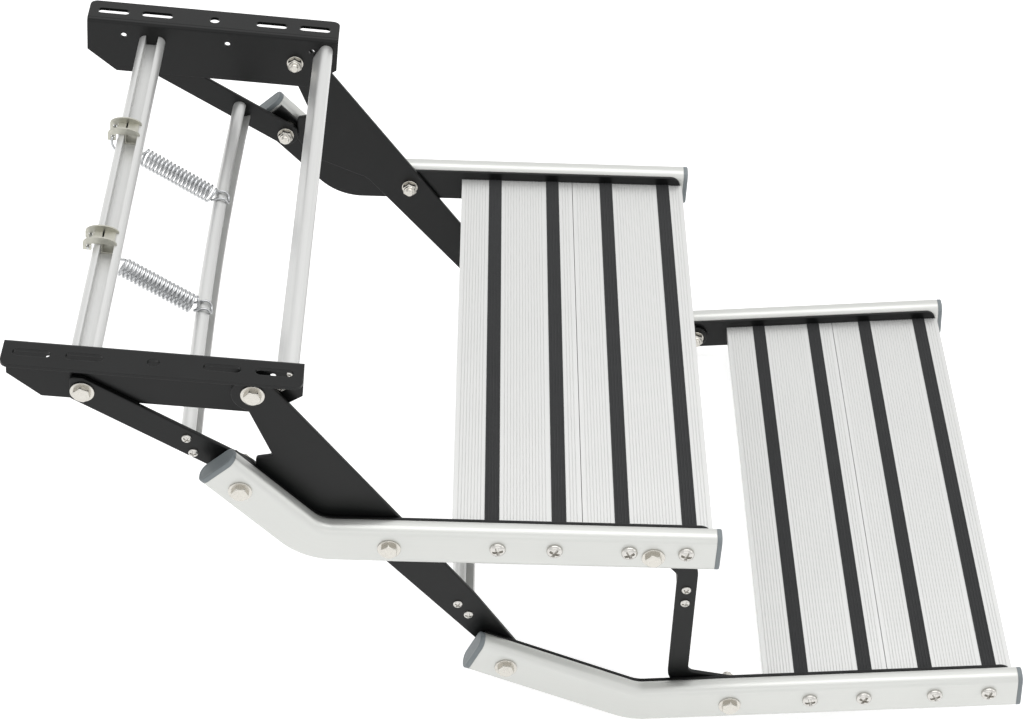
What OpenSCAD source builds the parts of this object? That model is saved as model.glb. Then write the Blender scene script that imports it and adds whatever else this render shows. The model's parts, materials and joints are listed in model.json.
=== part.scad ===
// Folding double entry step for a caravan. It bolts up under the floor at the doorway.
// X points forward, away from the caravan; Y runs along the treads; Z is up.
// The origin is midway between the two base brackets, at their centre holes, on the flange tops.
// Side views are drawn as (x, z) outlines and extruded along Y.

/* [Treads] */
// Clear width between the inner plates of a step, and the length of its planks
tread_w = 500; // [360:10:700]
// Depth of one tread plank, front to back
plank_w = 112.2; // [106:0.2:125]
// Height of a tread plank
plank_h = 15; // [14:0.5:17]
// Thickness of the top skin of a plank
plank_skin = 2; // [1.6:0.1:2.2]
// Width of one black grip insert
grip_w = 11.5; // [8:0.5:14]
// How far the grip insert stands above the tread
grip_proud = 0.8; // [0.4:0.1:1.5]
// Distance between the fine ribs on the tread
rib_pitch = 2.8; // [2.2:0.1:4]
// Depth of the grooves between the fine ribs
rib_depth = 0.45; // [0.2:0.05:0.6]

/* [Side rails] */
// Height of the flat-oval rail section
rail_h = 37; // [34:0.5:42]
// Width of the flat-oval rail section
rail_w = 21; // [18:0.5:26]
// Wall of the rail extrusion
rail_wall = 2; // [1.5:0.1:3]
// Bend radius of the rails on their centre line
rail_bend_r = 60; // [50:1:70]
// Thickness of the black inner plate on each rail
inner_t = 3; // [2:0.5:4]
// Height of the inner plate
inner_h = 31.4; // [27:0.2:33]
// Thickness of the plastic end caps of the rails
cap_t = 2.6; // [1.5:0.1:5]

/* [Upper step] */
// Nose-up angle of the upper tread
upper_pitch = 4; // [0:0.5:8]
// Angle by which the rear part of the upper rail turns up from the tread
upper_bend = 47; // [40:0.5:52]
// From the rail bend forward to the arm pivot
upper_back = 66.3; // [60:0.5:72]
// From the arm pivot forward to the first plank
upper_front = 52.7; // [48:0.5:60]
// Place of the front link pivot across the front plank, as a share of the plank's depth
upper_link_share = 0.538; // [0.51:0.002:0.56]
// How far the front link pivot lies below the rail centre line
upper_link_drop = 2.5; // [2.5:0.1:4]
// From the rail bend back to the rear link pivot
upper_rear = 85.5; // [80:0.5:92]

/* [Lower step] */
// Nose-up angle of the lower tread
lower_pitch = 9.5; // [6:0.5:12]
// Angle by which the rear part of the lower rail turns up from the tread
lower_bend = 28.7; // [24:0.1:34]
// From the rail bend forward to the front link pivot
lower_back = 86.9; // [82:0.5:94]
// From the front link pivot forward to the first plank
lower_front = 32.9; // [30:0.5:40]
// From the rail bend back to the arm pivot
lower_rear = 128.5; // [120:0.5:136]

/* [Pivots] */
// Rear link pivot on the base bracket, forward of the origin
p1_x = -58.5; // [-66:0.5:-52]
// Rear link pivot on the base bracket, below the flange top
p1_drop = 45; // [40:0.5:50]
// Main arm pivot on the base bracket, forward of the origin
p2_x = 80.1; // [74:0.1:86]
// Main arm pivot on the base bracket, below the flange top
p2_drop = 30.2; // [27:0.1:36]
// Main arm pivot to the upper step, forward along the arm drop
p4_x = 202.6; // [196:0.2:208]
// Upper step pivot, below the flange top
p4_drop = 173; // [168:0.5:178]
// Front link pivot on the lower step, forward of the origin
p7_x = 523.5; // [520:0.5:527]
// Front link pivot on the lower step, below the flange top
p7_drop = 340.2; // [337:0.2:344]
// Pivot bolt diameter
bolt_d = 10; // [8:0.5:10]
// Diametral play of a pivot bolt in its hole
bolt_play = 0.1; // [0.06:0.02:0.2]
// Side play between one flat bar and the next
run_gap = 0.5; // [0.4:0.1:1]
// Side play between a washer and a turning bar
washer_gap = 0.1; // [0.05:0.05:0.2]

/* [Base brackets] */
// Length of a base bracket
base_len = 241; // [235:1:270]
// Height of the base bracket plate
base_h = 57; // [54:1:70]
// Thickness of the base bracket
base_t = 3; // [2.5:0.5:4]
// Width of the mounting flange, over the bend
flange_w = 32.5; // [30:0.5:40]
// Length of a mounting slot
slot_len = 30.5; // [20:0.5:34]
// Width of a mounting slot
slot_w = 8.5; // [6.5:0.5:11]
// Inner pair of mounting slots, from the centre hole
slot_inner_x = 55; // [50:0.5:58]
// Outer pair of mounting slots, from the ends of the bracket
slot_end_gap = 23.5; // [20:0.5:30]
// Centre mounting hole
centre_hole_d = 10; // [6:0.5:12]
// Small holes along the top of the bracket plate
small_hole_d = 5.5; // [3:0.5:7]

/* [Arms and links] */
// Thickness of a main arm
arm_t = 4; // [3:0.5:6]
// Thickness of a rear link
link_t = 4; // [3:0.5:6]
// Thickness of a front link
front_t = 4; // [3:0.5:4]
// Radius of the main arm round its base pivot
arm_top_r = 18; // [16:0.5:20]
// Radius of the main arm round its lower pivot
arm_end_r = 12.5; // [11:0.5:16]
// Width of a rear link
link_w = 25; // [22:0.5:28]
// Width of a front link
front_w = 16; // [14:0.5:16]

/* [Cross tubes] */
// Long side of the slotted tube section
tube_w = 25; // [24:0.5:28]
// Short side of the slotted tube section
tube_h = 13; // [11:0.5:15]
// Width of the open slot along the tube
tube_slot_w = 11.7; // [9:0.1:12]
// Depth of the open slot along the tube
tube_slot_d = 10; // [6:0.5:11]
// Distance between the two screws in a tube end
tube_screw_gap = 16.5; // [16:0.1:17.5]

/* [Springs] */
// Distance of a spring from the middle of the step
spring_y = 81; // [60:1:150]
// Wire diameter of a spring
spring_wire = 2.6; // [1.6:0.1:2.8]
// Outer diameter of a spring
spring_od = 18; // [14:0.5:19]
// Number of coils in a spring
spring_turns = 18; // [12:1:22]

/* [Hidden] */
$fn = 48;

steel_black = "#1d1e1f";
alloy = "#d3d6d8";
zinc = "#c4c2bb";
cap_grey = "#5f6769";
grip_black = "#242627";

// Layers across the step, as distances from its middle plane
rail_in = tread_w / 2 + inner_t;
rail_out = rail_in + rail_w;
inner_in = tread_w / 2;
arm_out = inner_in - run_gap;
arm_in = arm_out - arm_t;
link_out = arm_in - run_gap;
link_in = link_out - link_t;
base_out = link_in - run_gap;
base_in = base_out - base_t;
front_out = inner_in - run_gap;
front_in = front_out - front_t;

// Turned places in the side view
function turn(v, a) = [v[0] * cos(a) - v[1] * sin(a), v[0] * sin(a) + v[1] * cos(a)];
function unit(v) = v / norm(v);

// Pivots in the side view
p1 = [p1_x, -p1_drop];
p2 = [p2_x, -p2_drop];
p4 = [p4_x, -p4_drop];
p7 = [p7_x, -p7_drop];
// Frame of the upper step: its pivot, its pitch and its rail bend
upper_vertex = p4 + turn([-upper_back, 0], upper_pitch);
p3 = upper_vertex + turn([-upper_rear, 1], upper_pitch - upper_bend);
p5 = p4 + turn([upper_front + plank_w * (1 + upper_link_share), -upper_link_drop], upper_pitch);
lower_vertex = p7 + turn([-lower_back, 0], lower_pitch);
p6 = lower_vertex + turn([-lower_rear, 1], lower_pitch - lower_bend);

// Mounting slots and small holes of the base brackets
slot_outer_x = base_len / 2 - slot_end_gap;
small_hole_x = [-base_len / 2 + 35, 14, base_len / 2 - 25];
small_hole_drop = 16;

// Hardware sizes
bolt_hole_d = bolt_d + bolt_play;
washer_d = bolt_d * 2;
washer_t = 1.5;
head_af = bolt_d * 1.6;
head_h = bolt_d * 0.64;
nut_h = bolt_d * 0.84;
tip_len = bolt_d * 0.4;
tube_screw_d = 4;
tube_screw_head_d = 9.5;
tube_screw_head_h = 3.2;
tube_screw_len = 20;
plank_screw_d = 4.8;
plank_screw_head_d = 14;
plank_screw_head_h = 4.6;
plank_screw_len = 25;
screw_play = 0.2;

// The spacer at the opened pivot p3 is parted just outside the screw heads of the rear link
stop_split = link_out + tube_screw_head_h + 0.1;

// Rail and plank places that both steps share
centre_w = -8;
rail_past_end = 1.5;
rail_past_pivot = 25;
plate_front_gap = 8;
plate_rear_gap = 3;
spigot_len = 9;
spigot_play = 0.1;
port_u = [39.5 / 112.2 * plank_w, 88 / 112.2 * plank_w];
port_w = -5;
port_boss_d = 9.6;
grip_u = [0.305 * plank_w, 0.82 * plank_w];
grip_pocket = 1.2;
plank_leg = 2;

// Cross tube places
rear_tube_c = [-58.2, -20.6];
front_tube_c = [106.5, -18.8];
front_tube_turn = 62;
link_tube_s = 0.67;
link_tube_turn = -69;
arm_tube_s = 0.825;
arm_tube_off = -2;
arm_dir = unit(p6 - p2);
arm_angle = atan2(arm_dir[1], arm_dir[0]);
arm_len = norm(p6 - p2);
link_angle = atan2(p3[1] - p1[1], p3[0] - p1[0]);
link_len = norm(p3 - p1);
link_tube_c = p1 + turn([link_len * link_tube_s, -1.5], link_angle);
arm_tube_c = p2 + turn([arm_len * arm_tube_s, arm_tube_off], arm_angle);
front_elbow = p5 + [37, -37];
front_knee = p7 + [-48, 9];
front_leg_dir = unit(front_knee - front_elbow);
front_tube_at = front_elbow + front_leg_dir * 30;
front_leg_angle = atan2(front_leg_dir[1], front_leg_dir[0]);

// Rounded outline: each point is [x, y, corner radius]
function corner_arc(a, b, c, r, n = 6) =
    let (u = unit(a - b), v = unit(c - b), half = acos(u * v) / 2,
         centre = b + unit(u + v) * r / sin(half),
         t1 = b + u * r / tan(half) - centre, t2 = b + v * r / tan(half) - centre,
         a1 = atan2(t1[1], t1[0]), raw = atan2(t2[1], t2[0]) - a1,
         sweep = raw > 180 ? raw - 360 : raw < -180 ? raw + 360 : raw)
    [for (i = [0:n]) centre + r * [cos(a1 + sweep * i / n), sin(a1 + sweep * i / n)]];
function xy(p) = [p[0], p[1]];
function rounded(pts) =
    let (n = len(pts))
    [for (i = [0:n - 1]) each (pts[i][2] > 0
        ? corner_arc(xy(pts[(i + n - 1) % n]), xy(pts[i]), xy(pts[(i + 1) % n]), pts[i][2])
        : [xy(pts[i])])];

// Places a (x, z) outline between two distances from the middle plane
module slab(y0, y1) {
    translate([0, y1, 0]) rotate([90, 0, 0]) linear_extrude(y1 - y0) children();
}
// Draws its children as built for the left, or mirrored for the right
module sided(left = true) {
    if (left) children();
    else mirror([0, 1, 0]) children();
}
// A round bar across the step
module cross(at, d, y0, y1) {
    translate([at[0], y1, at[1]]) rotate([90, 0, 0]) cylinder(d = d, h = y1 - y0);
}
// Points along an arc, and the same points with no further rounding
function arc_points(c, r, a0, a1, n) =
    [for (i = [0:n]) let (a = a0 + (a1 - a0) * i / n) [c[0] + r * cos(a), c[1] + r * sin(a), 0]];
// Corner of a strap of half width h at b, on its left side for a positive h
function strap_corner(a, b, c, h, r) =
    let (n1 = turn(unit(b - a), 90), n2 = turn(unit(c - b), 90),
         q = b + h * (n1 + n2) / (1 + n1 * n2))
    [q[0], q[1], r];
// Flat-oval section, long side along the second axis
module oval(w, h) {
    translate([-w / 2, -(h - w) / 2]) square([w, h - w]);
    for (s = [-1, 1]) translate([0, s * (h - w) / 2]) circle(d = w);
}

// Base bracket: folded plate with a mounting flange that points outwards
module base_plate_outline() {
    chamfer_x = 28;
    chamfer_z = 22;
    polygon([[-base_len / 2, 0], [base_len / 2, 0], [base_len / 2, -base_h + chamfer_z],
             [base_len / 2 - chamfer_x, -base_h], [-base_len / 2 + chamfer_x, -base_h],
             [-base_len / 2, -base_h + chamfer_z]]);
}
module base_section() {
    bend_r = base_t + 1.5;
    difference() {
        union() {
            translate([base_in, -base_h]) square([base_t, base_h - bend_r]);
            translate([base_in + bend_r, -base_t]) square([flange_w - bend_r, base_t]);
            intersection() {
                translate([base_in + bend_r, -bend_r]) circle(r = bend_r);
                translate([base_in, -bend_r]) square(bend_r);
            }
        }
        translate([base_in + bend_r, -bend_r]) circle(r = bend_r - base_t);
    }
}
module base_bracket() {
    flange_y = base_in + flange_w / 2;
    corner_r = 7;
    difference() {
        rotate([90, 0, 90]) translate([0, 0, -base_len / 2]) linear_extrude(base_len) base_section();
        difference() {
            slab(base_in - 1, base_out + 1) translate([-base_len, -base_h - 1])
                square([2 * base_len, base_h - base_t - 2]);
            slab(base_in - 2, base_out + 2) base_plate_outline();
        }
        for (s = [-1, 1]) translate([s * base_len / 2, base_in + flange_w, -base_t - 1])
            linear_extrude(base_t + 2) difference() {
                square(2 * corner_r, center = true);
                translate([-s * corner_r, -corner_r]) circle(r = corner_r);
            }
        translate([0, flange_y, -base_t - 1]) cylinder(d = centre_hole_d, h = base_t + 2);
        for (x = [-slot_outer_x, -slot_inner_x, slot_inner_x, slot_outer_x])
            translate([x, flange_y, -base_t - 1]) {
                for (s = [-1, 1]) translate([s * (slot_len - slot_w) / 2, 0, 0])
                    cylinder(d = slot_w, h = base_t + 2);
                translate([-(slot_len - slot_w) / 2, -slot_w / 2, 0])
                    cube([slot_len - slot_w, slot_w, base_t + 2]);
            }
        for (p = [p1, p2]) cross(p, bolt_hole_d, base_in - 1, base_out + 1);
        for (x = small_hole_x) cross([x, -small_hole_drop], small_hole_d, base_in - 1, base_out + 1);
        tube_screw_holes(rear_tube_c, 0, base_in - 1, base_out + 1);
        tube_screw_holes(front_tube_c, front_tube_turn, base_in - 1, base_out + 1);
    }
}

// Slotted cross tube; its slot faces up before it is turned
module tube_section() {
    difference() {
        rotate(90) oval(tube_h, tube_w);
        translate([-tube_slot_w / 2, tube_h / 2 - tube_slot_d]) square([tube_slot_w, tube_h]);
        for (s = [-1, 1]) translate([s * tube_screw_gap / 2, 0])
            circle(d = tube_screw_d + screw_play);
    }
}
module cross_tube(at, a, half) {
    slab(-half, half) translate(at) rotate(a) tube_section();
}
module tube_screw_holes(at, a, y0, y1) {
    for (s = [-1, 1])
        cross(at + turn([s * tube_screw_gap / 2, 0], a), tube_screw_d + screw_play, y0, y1);
}
// Pan-head screw with a cross recess; its head seats on the outer face of a bar at y
module pan_screw(at, y, d, len, head_d, head_h) {
    translate([at[0], y, at[1]]) rotate([-90, 0, 0]) {
        translate([0, 0, -len]) cylinder(d = d, h = len);
        difference() {
            cylinder(d1 = head_d, d2 = head_d * 0.78, h = head_h);
            for (a = [0, 90]) rotate(a)
                translate([-head_d * 0.25, -head_d * 0.06, head_h * 0.45])
                    cube([head_d * 0.5, head_d * 0.12, head_h]);
        }
    }
}
module tube_screws(at, a, y) {
    for (left = [true, false]) sided(left) for (s = [-1, 1])
        pan_screw(at + turn([s * tube_screw_gap / 2, 0], a), y, tube_screw_d, tube_screw_len,
                  tube_screw_head_d, tube_screw_head_h);
}

// Hexagon bolt, nut and washer along Y
module hex_bolt(at, head_y, tip_y) {
    translate([at[0], head_y, at[1]]) rotate([-90, 0, 0]) {
        cylinder(d = head_af / cos(30), h = head_h, $fn = 6);
        translate([0, 0, tip_y - head_y]) cylinder(d = bolt_d, h = head_y - tip_y);
    }
}
module hex_nut(at, y_out) {
    translate([at[0], y_out, at[1]]) rotate([90, 0, 0]) difference() {
        cylinder(d = head_af / cos(30), h = nut_h, $fn = 6);
        translate([0, 0, -1]) cylinder(d = bolt_hole_d, h = nut_h + 2);
    }
}
module washer(at, y0, d = washer_d) {
    difference() {
        cross(at, d, y0, y0 + washer_t);
        cross(at, bolt_hole_d, y0 - 1, y0 + washer_t + 1);
    }
}
// Bolt end with its nut on the far side of an opened pivot: it fills the hole of its own bar
module bolt_end(at, y_out, y_in) {
    cross(at, bolt_d, y_in - washer_t - nut_h - tip_len, y_out);
    cross(at, washer_d, y_in - washer_t, y_in);
    translate([at[0], y_in - washer_t, at[1]]) rotate([90, 0, 0])
        cylinder(d = head_af / cos(30), h = nut_h, $fn = 6);
}

// Rear link: flat bar with a squared upper end and a round lower end
module rear_link() {
    r = link_w / 2;
    upper_edge = p1 + turn([24, r], link_angle);
    lower_edge = p1 + turn([6, -r], link_angle);
    difference() {
        slab(link_in, link_out) polygon(rounded(concat(
            [[p1[0] - 10.5, p1[1] + 14, 3],
             [p1[0] + 0.5, p1[1] + 14, 6],
             [upper_edge[0], upper_edge[1], 0]],
            arc_points(p3, r, link_angle + 90, link_angle - 90, 22),
            [[lower_edge[0], lower_edge[1], 0],
             [p1[0] - 10.5, p1[1] - 8.5, 3]])));
        cross(p1, bolt_hole_d, link_in - 1, link_out + 1);
        cross(p3, bolt_hole_d, link_in - 1, link_out + 1);
        tube_screw_holes(link_tube_c, link_tube_turn, link_in - 1, link_out + 1);
    }
}

// Main arm: a tapered bar from the base past the upper step to the lower step. A heel at its
// rear edge rests on the spacer of the rear link pivot and stops the open step.
module main_arm() {
    stop_x = p3[0] + washer_d / 2 + 0.6;
    lower_edge = p2 + turn([arm_len * 0.41, -24], arm_angle);
    upper_edge = p2 + turn([arm_len * 0.8, arm_top_r - 1], arm_angle);
    difference() {
        slab(arm_in, arm_out) polygon(rounded(concat(
            arc_points(p2, arm_top_r, -100, arm_angle + 90 - 360, 28),
            [[upper_edge[0], upper_edge[1], 0]],
            arc_points(p6, arm_end_r, arm_angle + 90, arm_angle - 90, 22),
            [[lower_edge[0], lower_edge[1], 20],
             [p3[0] + 29, p3[1] - 21, 8],
             [stop_x, p3[1] - 7, 5],
             [stop_x, p3[1] + 18.5, 3],
             [p3[0] + 24.5, p3[1] + 22.5, 2]])));
        for (p = [p2, p4, p6]) cross(p, bolt_hole_d, arm_in - 1, arm_out + 1);
        tube_screw_holes(arm_tube_c, arm_angle, arm_in - 1, arm_out + 1);
    }
}

// Front link: a narrow strap that reaches forward under the tread, goes down and turns
// forward again to the lower step
module front_link() {
    h = front_w / 2;
    first = front_elbow - p5;
    last = p7 - front_knee;
    a1 = atan2(first[1], first[0]);
    a2 = atan2(last[1], last[0]);
    difference() {
        slab(front_in, front_out) polygon(rounded(concat(
            [strap_corner(p5, front_elbow, front_knee, h, h + 10),
             strap_corner(front_elbow, front_knee, p7, h, 8)],
            arc_points(p7, h + 3, a2 + 90, a2 - 90, 20),
            [strap_corner(front_elbow, front_knee, p7, -h, h + 10),
             strap_corner(p5, front_elbow, front_knee, -h, 8)],
            arc_points(p5, h, a1 - 90, a1 - 270, 16))));
        for (p = [p5, p7]) cross(p, bolt_hole_d, front_in - 1, front_out + 1);
        tube_screw_holes(front_tube_at, front_leg_angle, front_in - 1, front_out + 1);
    }
}

// A band that follows the rail centre line in its own frame: u along the tread, w up.
// The bend vertex is at u = 0; the rear part turns up by the bend angle.
function band_arc(r, bend, n = 14) =
    [for (i = [0:n]) let (a = bend * i / n)
        [rail_bend_r * tan(bend / 2) - r * sin(a), rail_bend_r - r * cos(a)]];
module band(h, front_u, rear_u, bend) {
    outer = band_arc(rail_bend_r + h / 2, bend);
    inner = band_arc(rail_bend_r - h / 2, bend);
    polygon(concat([[front_u, -h / 2]], outer, [turn([-rear_u, -h / 2], -bend)],
                   [turn([-rear_u, h / 2], -bend)],
                   [for (i = [len(inner) - 1:-1:0]) inner[i]], [[front_u, h / 2]]));
}

// Hollow bent rail, flat-oval in section, drawn in the same frame as rings of points that
// stand along its centre line
function oval_ring(w, h, n = 12) =
    [for (s = [1, -1]) for (i = [0:n]) let (a = 90 - 90 * s + 180 * i / n)
        [w / 2 * cos(a), s * (h - w) / 2 + w / 2 * sin(a)]];
function rail_stations(front_u, rear_u, bend, n = 12) =
    let (cut = rail_bend_r * tan(bend / 2), back = turn([-rear_u, 0], -bend))
    concat([[front_u, 0, 0]],
           [for (i = [0:n]) let (a = bend * i / n)
               [cut - rail_bend_r * sin(a), rail_bend_r * (1 - cos(a)), a]],
           [[back[0], back[1], bend]]);
module rail_solid(front_u, rear_u, bend) {
    ring = concat(oval_ring(rail_w, rail_h),
                  oval_ring(rail_w - 2 * rail_wall, rail_h - 2 * rail_wall));
    stations = rail_stations(front_u, rear_u, bend);
    n = len(ring) / 2;
    m = len(stations);
    points = [for (s = stations) for (q = ring)
        [s[0] + sin(s[2]) * q[1], q[0], s[1] + cos(s[2]) * q[1]]];
    function at(i, k) = i * 2 * n + k % n;
    function in(i, k) = i * 2 * n + n + k % n;
    faces = concat(
        [for (i = [0:m - 2]) for (k = [0:n - 1]) [at(i, k), at(i, k + 1), at(i + 1, k + 1), at(i + 1, k)]],
        [for (i = [0:m - 2]) for (k = [0:n - 1]) [in(i, k), in(i + 1, k), in(i + 1, k + 1), in(i, k + 1)]],
        [for (k = [0:n - 1]) [at(0, k), in(0, k), in(0, k + 1), at(0, k + 1)]],
        [for (k = [0:n - 1]) [at(m - 1, k), at(m - 1, k + 1), in(m - 1, k + 1), in(m - 1, k)]]);
    polyhedron(points = points, faces = faces, convexity = 10);
}
// Moves a step's own frame to its place in the side view, at a distance from the middle
module step_frame(vertex, pitch, y = 0) {
    translate([vertex[0], y, vertex[1]]) rotate([0, -pitch, 0]) children();
}
module side_rail(vertex, pitch, bend, front_u, rear_u, pivots, screws) {
    difference() {
        step_frame(vertex, pitch, rail_in + rail_w / 2) rail_solid(front_u, rear_u, bend);
        for (p = pivots) cross(p, bolt_hole_d, rail_in - 1, rail_out + 1);
        for (p = screws) cross(p, plank_screw_d + screw_play, rail_in - 1, rail_out + 1);
    }
}
module inner_plate(vertex, pitch, bend, front_u, rear_u, pivots, screws) {
    corner = 9;
    difference() {
        step_frame(vertex, pitch) slab(inner_in, rail_in) difference() {
            band(inner_h, front_u - plate_front_gap, rear_u - plate_rear_gap, bend);
            for (s = [-1, 1]) translate([front_u - plate_front_gap, s * inner_h / 2]) difference() {
                square(2 * corner, center = true);
                translate([-corner, -s * corner]) circle(r = corner);
            }
        }
        for (p = pivots) cross(p, bolt_hole_d, inner_in - 1, rail_in + 1);
        for (p = screws) cross(p, plank_screw_d + screw_play, inner_in - 1, rail_in + 1);
    }
}
// End cap: a plate over the rail end with a spigot inside it
module end_cap() {
    inner_w = rail_w - 2 * rail_wall - 2 * spigot_play;
    inner_hh = rail_h - 2 * rail_wall - 2 * spigot_play;
    rotate([90, 0, 90]) {
        linear_extrude(cap_t) oval(rail_w, rail_h);
        translate([0, 0, -spigot_len]) linear_extrude(spigot_len) difference() {
            oval(inner_w, inner_hh);
            oval(inner_w - 4, inner_hh - 4);
        }
    }
}
module front_caps(vertex, pitch, front_u) {
    for (left = [true, false]) sided(left)
        step_frame(vertex, pitch, rail_in + rail_w / 2) translate([front_u, 0, 0]) end_cap();
}
module rear_caps(vertex, pitch, bend, rear_u) {
    for (left = [true, false]) sided(left)
        step_frame(vertex, pitch - bend, rail_in + rail_w / 2)
            translate([-rear_u, 0, 0]) mirror([1, 0, 0]) end_cap();
}

// Tread plank: an extrusion with a finely ribbed top, two pockets for the grip inserts,
// a leg at each edge and two screw ports under the skin
module plank_section() {
    band_gap = 3;
    zones = [[band_gap, grip_u[0] - grip_w / 2 - band_gap],
             [grip_u[0] + grip_w / 2 + band_gap, grip_u[1] - grip_w / 2 - band_gap],
             [grip_u[1] + grip_w / 2 + band_gap, plank_w - band_gap]];
    difference() {
        union() {
            difference() {
                translate([0, -plank_h]) square([plank_w, plank_h]);
                translate([plank_leg, -plank_h - 1])
                    square([plank_w - 2 * plank_leg, plank_h + 1 - plank_skin]);
            }
            for (u = grip_u) translate([u - grip_w / 2 - 2, -plank_skin - grip_pocket])
                square([grip_w + 4, plank_skin + grip_pocket - 1]);
            for (u = port_u) translate([u, port_w]) circle(d = port_boss_d);
            for (u = port_u) translate([u - 3, port_w]) square([6, -port_w - 1]);
        }
        for (u = grip_u) translate([u - grip_w / 2, -grip_pocket]) square([grip_w, 2]);
        for (u = port_u) translate([u, port_w]) circle(d = plank_screw_d + screw_play);
        for (z = zones) {
            count = floor((z[1] - z[0]) / rib_pitch);
            for (i = [0:count - 1]) translate([z[0] + (i + 0.5) * rib_pitch, 0])
                polygon([[-rib_pitch * 0.22, 0.2], [0, -rib_depth], [rib_pitch * 0.22, 0.2]]);
        }
    }
}
module plank(vertex, pitch, start_u) {
    step_frame(vertex, pitch) slab(-tread_w / 2, tread_w / 2)
        translate([start_u, -centre_w]) plank_section();
}
module grip_inserts(vertex, pitch, start_u) {
    ridge = grip_w / 9;
    step_frame(vertex, pitch) slab(-tread_w / 2, tread_w / 2)
        for (k = [0, 1]) for (u = grip_u)
            translate([start_u + k * plank_w + u - grip_w / 2, -centre_w - grip_pocket]) {
                square([grip_w, grip_pocket + grip_proud / 2]);
                for (i = [0:2:8]) translate([i * ridge, 0])
                    square([ridge, grip_pocket + grip_proud]);
            }
}
function plank_screw_places(vertex, pitch, start_u) =
    [for (k = [0, 1]) for (u = port_u)
        vertex + turn([start_u + k * plank_w + u, port_w - centre_w], pitch)];
module plank_screws(vertex, pitch, start_u) {
    for (left = [true, false]) sided(left)
        for (p = plank_screw_places(vertex, pitch, start_u))
            pan_screw(p, rail_out, plank_screw_d, rail_w + inner_t + plank_screw_len,
                      plank_screw_head_d, plank_screw_head_h);
}

// Places along each step, from its bend vertex
upper_start = upper_back + upper_front;
upper_end = upper_start + 2 * plank_w + rail_past_end;
upper_rear_end = upper_rear + rail_past_pivot;
upper_screws = plank_screw_places(upper_vertex, upper_pitch, upper_start);
lower_start = lower_back + lower_front;
lower_end = lower_start + 2 * plank_w + rail_past_end;
lower_rear_end = lower_rear + rail_past_pivot + 4;
lower_screws = plank_screw_places(lower_vertex, lower_pitch, lower_start);

// Spring clip: two half-round cheeks on a web that sits in the slot of the rear tube
clip_half = 9;
clip_t = 1.5;
tube_top = rear_tube_c[1] + tube_h / 2;
hook_at = [rear_tube_c[0] - 16.5, tube_top - 3];
module spring_clip() {
    slot_floor = tube_top - tube_slot_d;
    cheek_top = 5;
    for (s = [-1, 1]) slab(spring_y + s * (clip_half - clip_t / 2) - clip_t / 2,
                           spring_y + s * (clip_half - clip_t / 2) + clip_t / 2)
        difference() {
            translate([rear_tube_c[0] - 6.5, tube_top]) union() {
                intersection() {
                    scale([1, 0.5]) circle(r = 14.5);
                    translate([-15, 0]) square([30, 20]);
                }
                translate([-14.5, -7]) square([tube_w / 2 - 6.5 + 1.3, 7.2]);
            }
            translate(rear_tube_c) rotate(90) oval(tube_h + 0.4, tube_w + 0.4);
            translate(hook_at) circle(d = spring_wire + 1);
        }
    slab(spring_y - clip_half, spring_y + clip_half)
        translate([rear_tube_c[0] - tube_slot_w / 2 + 0.2, tube_top + 0.2])
            square([1.5, 1.6]);
    slab(spring_y - clip_half, spring_y + clip_half)
        translate([rear_tube_c[0] - tube_slot_w / 2 + 0.2, slot_floor + 0.2])
            square([tube_slot_w - 0.4, 1.4]);
    slab(spring_y - clip_half, spring_y + clip_half)
        translate([rear_tube_c[0] - tube_slot_w / 2 + 0.2, slot_floor + 0.2])
            square([1.4, tube_slot_d + 1]);
}

// Extension spring: one wire swept along a cross leg through the clip, a straight leg, the
// coils, and a double hook over the tube of the rear links
spring_r = (spring_od - spring_wire) / 2;
coil_from = [rear_tube_c[0] + 11, -43.5];
coil_to = link_tube_c + [-14.5, 15.5];
coil_dir = unit(coil_to - coil_from);
coil_up = turn(coil_dir, 90);
coil_len = norm(coil_to - coil_from);
coil_steps = 12;
link_tube_long = turn([1, 0], link_tube_turn);
link_tube_face = turn([0, 1], link_tube_turn);
hook_clear = tube_h / 2 + spring_wire / 2 + 0.3;
function in_space(p, y) = [p[0], y, p[1]];
function coil_point(t) = let (a = 360 * t * spring_turns - 90)
    in_space(coil_from + coil_dir * coil_len * t + coil_up * spring_r * sin(a) * -1,
             spring_r * cos(a));
hook_top = link_tube_c - link_tube_long * (tube_w / 2 + spring_wire / 2 + 0.4);
spring_path = [
    in_space(hook_at, clip_half + 3),
    in_space(hook_at, 0),
    in_space(hook_at, -clip_half - 1),
    in_space(hook_at + [-0.5, -1.8], -clip_half - 3),
    in_space(hook_at + [0.5, -8], -clip_half - 2.8),
    in_space(hook_at + [5, -13.5], -clip_half - 1.5),
    in_space(coil_from - coil_dir * 7 + coil_up * 2, -4),
    each [for (i = [0:spring_turns * coil_steps]) coil_point(i / (spring_turns * coil_steps))],
    in_space(coil_to + coil_dir * 4 + coil_up * 2, 3.5),
    in_space(hook_top - link_tube_face * 5, 5.5),
    in_space(hook_top + link_tube_face * 3, 5.5),
    in_space(hook_top + link_tube_long * 2 + link_tube_face * 6.6, 5.5),
    in_space(link_tube_c - link_tube_long * 7 + link_tube_face * hook_clear, 5.5),
    in_space(link_tube_c - link_tube_long * 2 + link_tube_face * hook_clear, 4),
    in_space(link_tube_c - link_tube_long * 0.5 + link_tube_face * hook_clear, 0),
    in_space(link_tube_c - link_tube_long * 2 + link_tube_face * hook_clear, -4),
    in_space(link_tube_c - link_tube_long * 7 + link_tube_face * hook_clear, -5.5),
    in_space(hook_top + link_tube_long * 2 + link_tube_face * 6.6, -5.5),
    in_space(hook_top + link_tube_face * 3, -5.5),
    in_space(hook_top - link_tube_face * 6, -5.5)];
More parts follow.
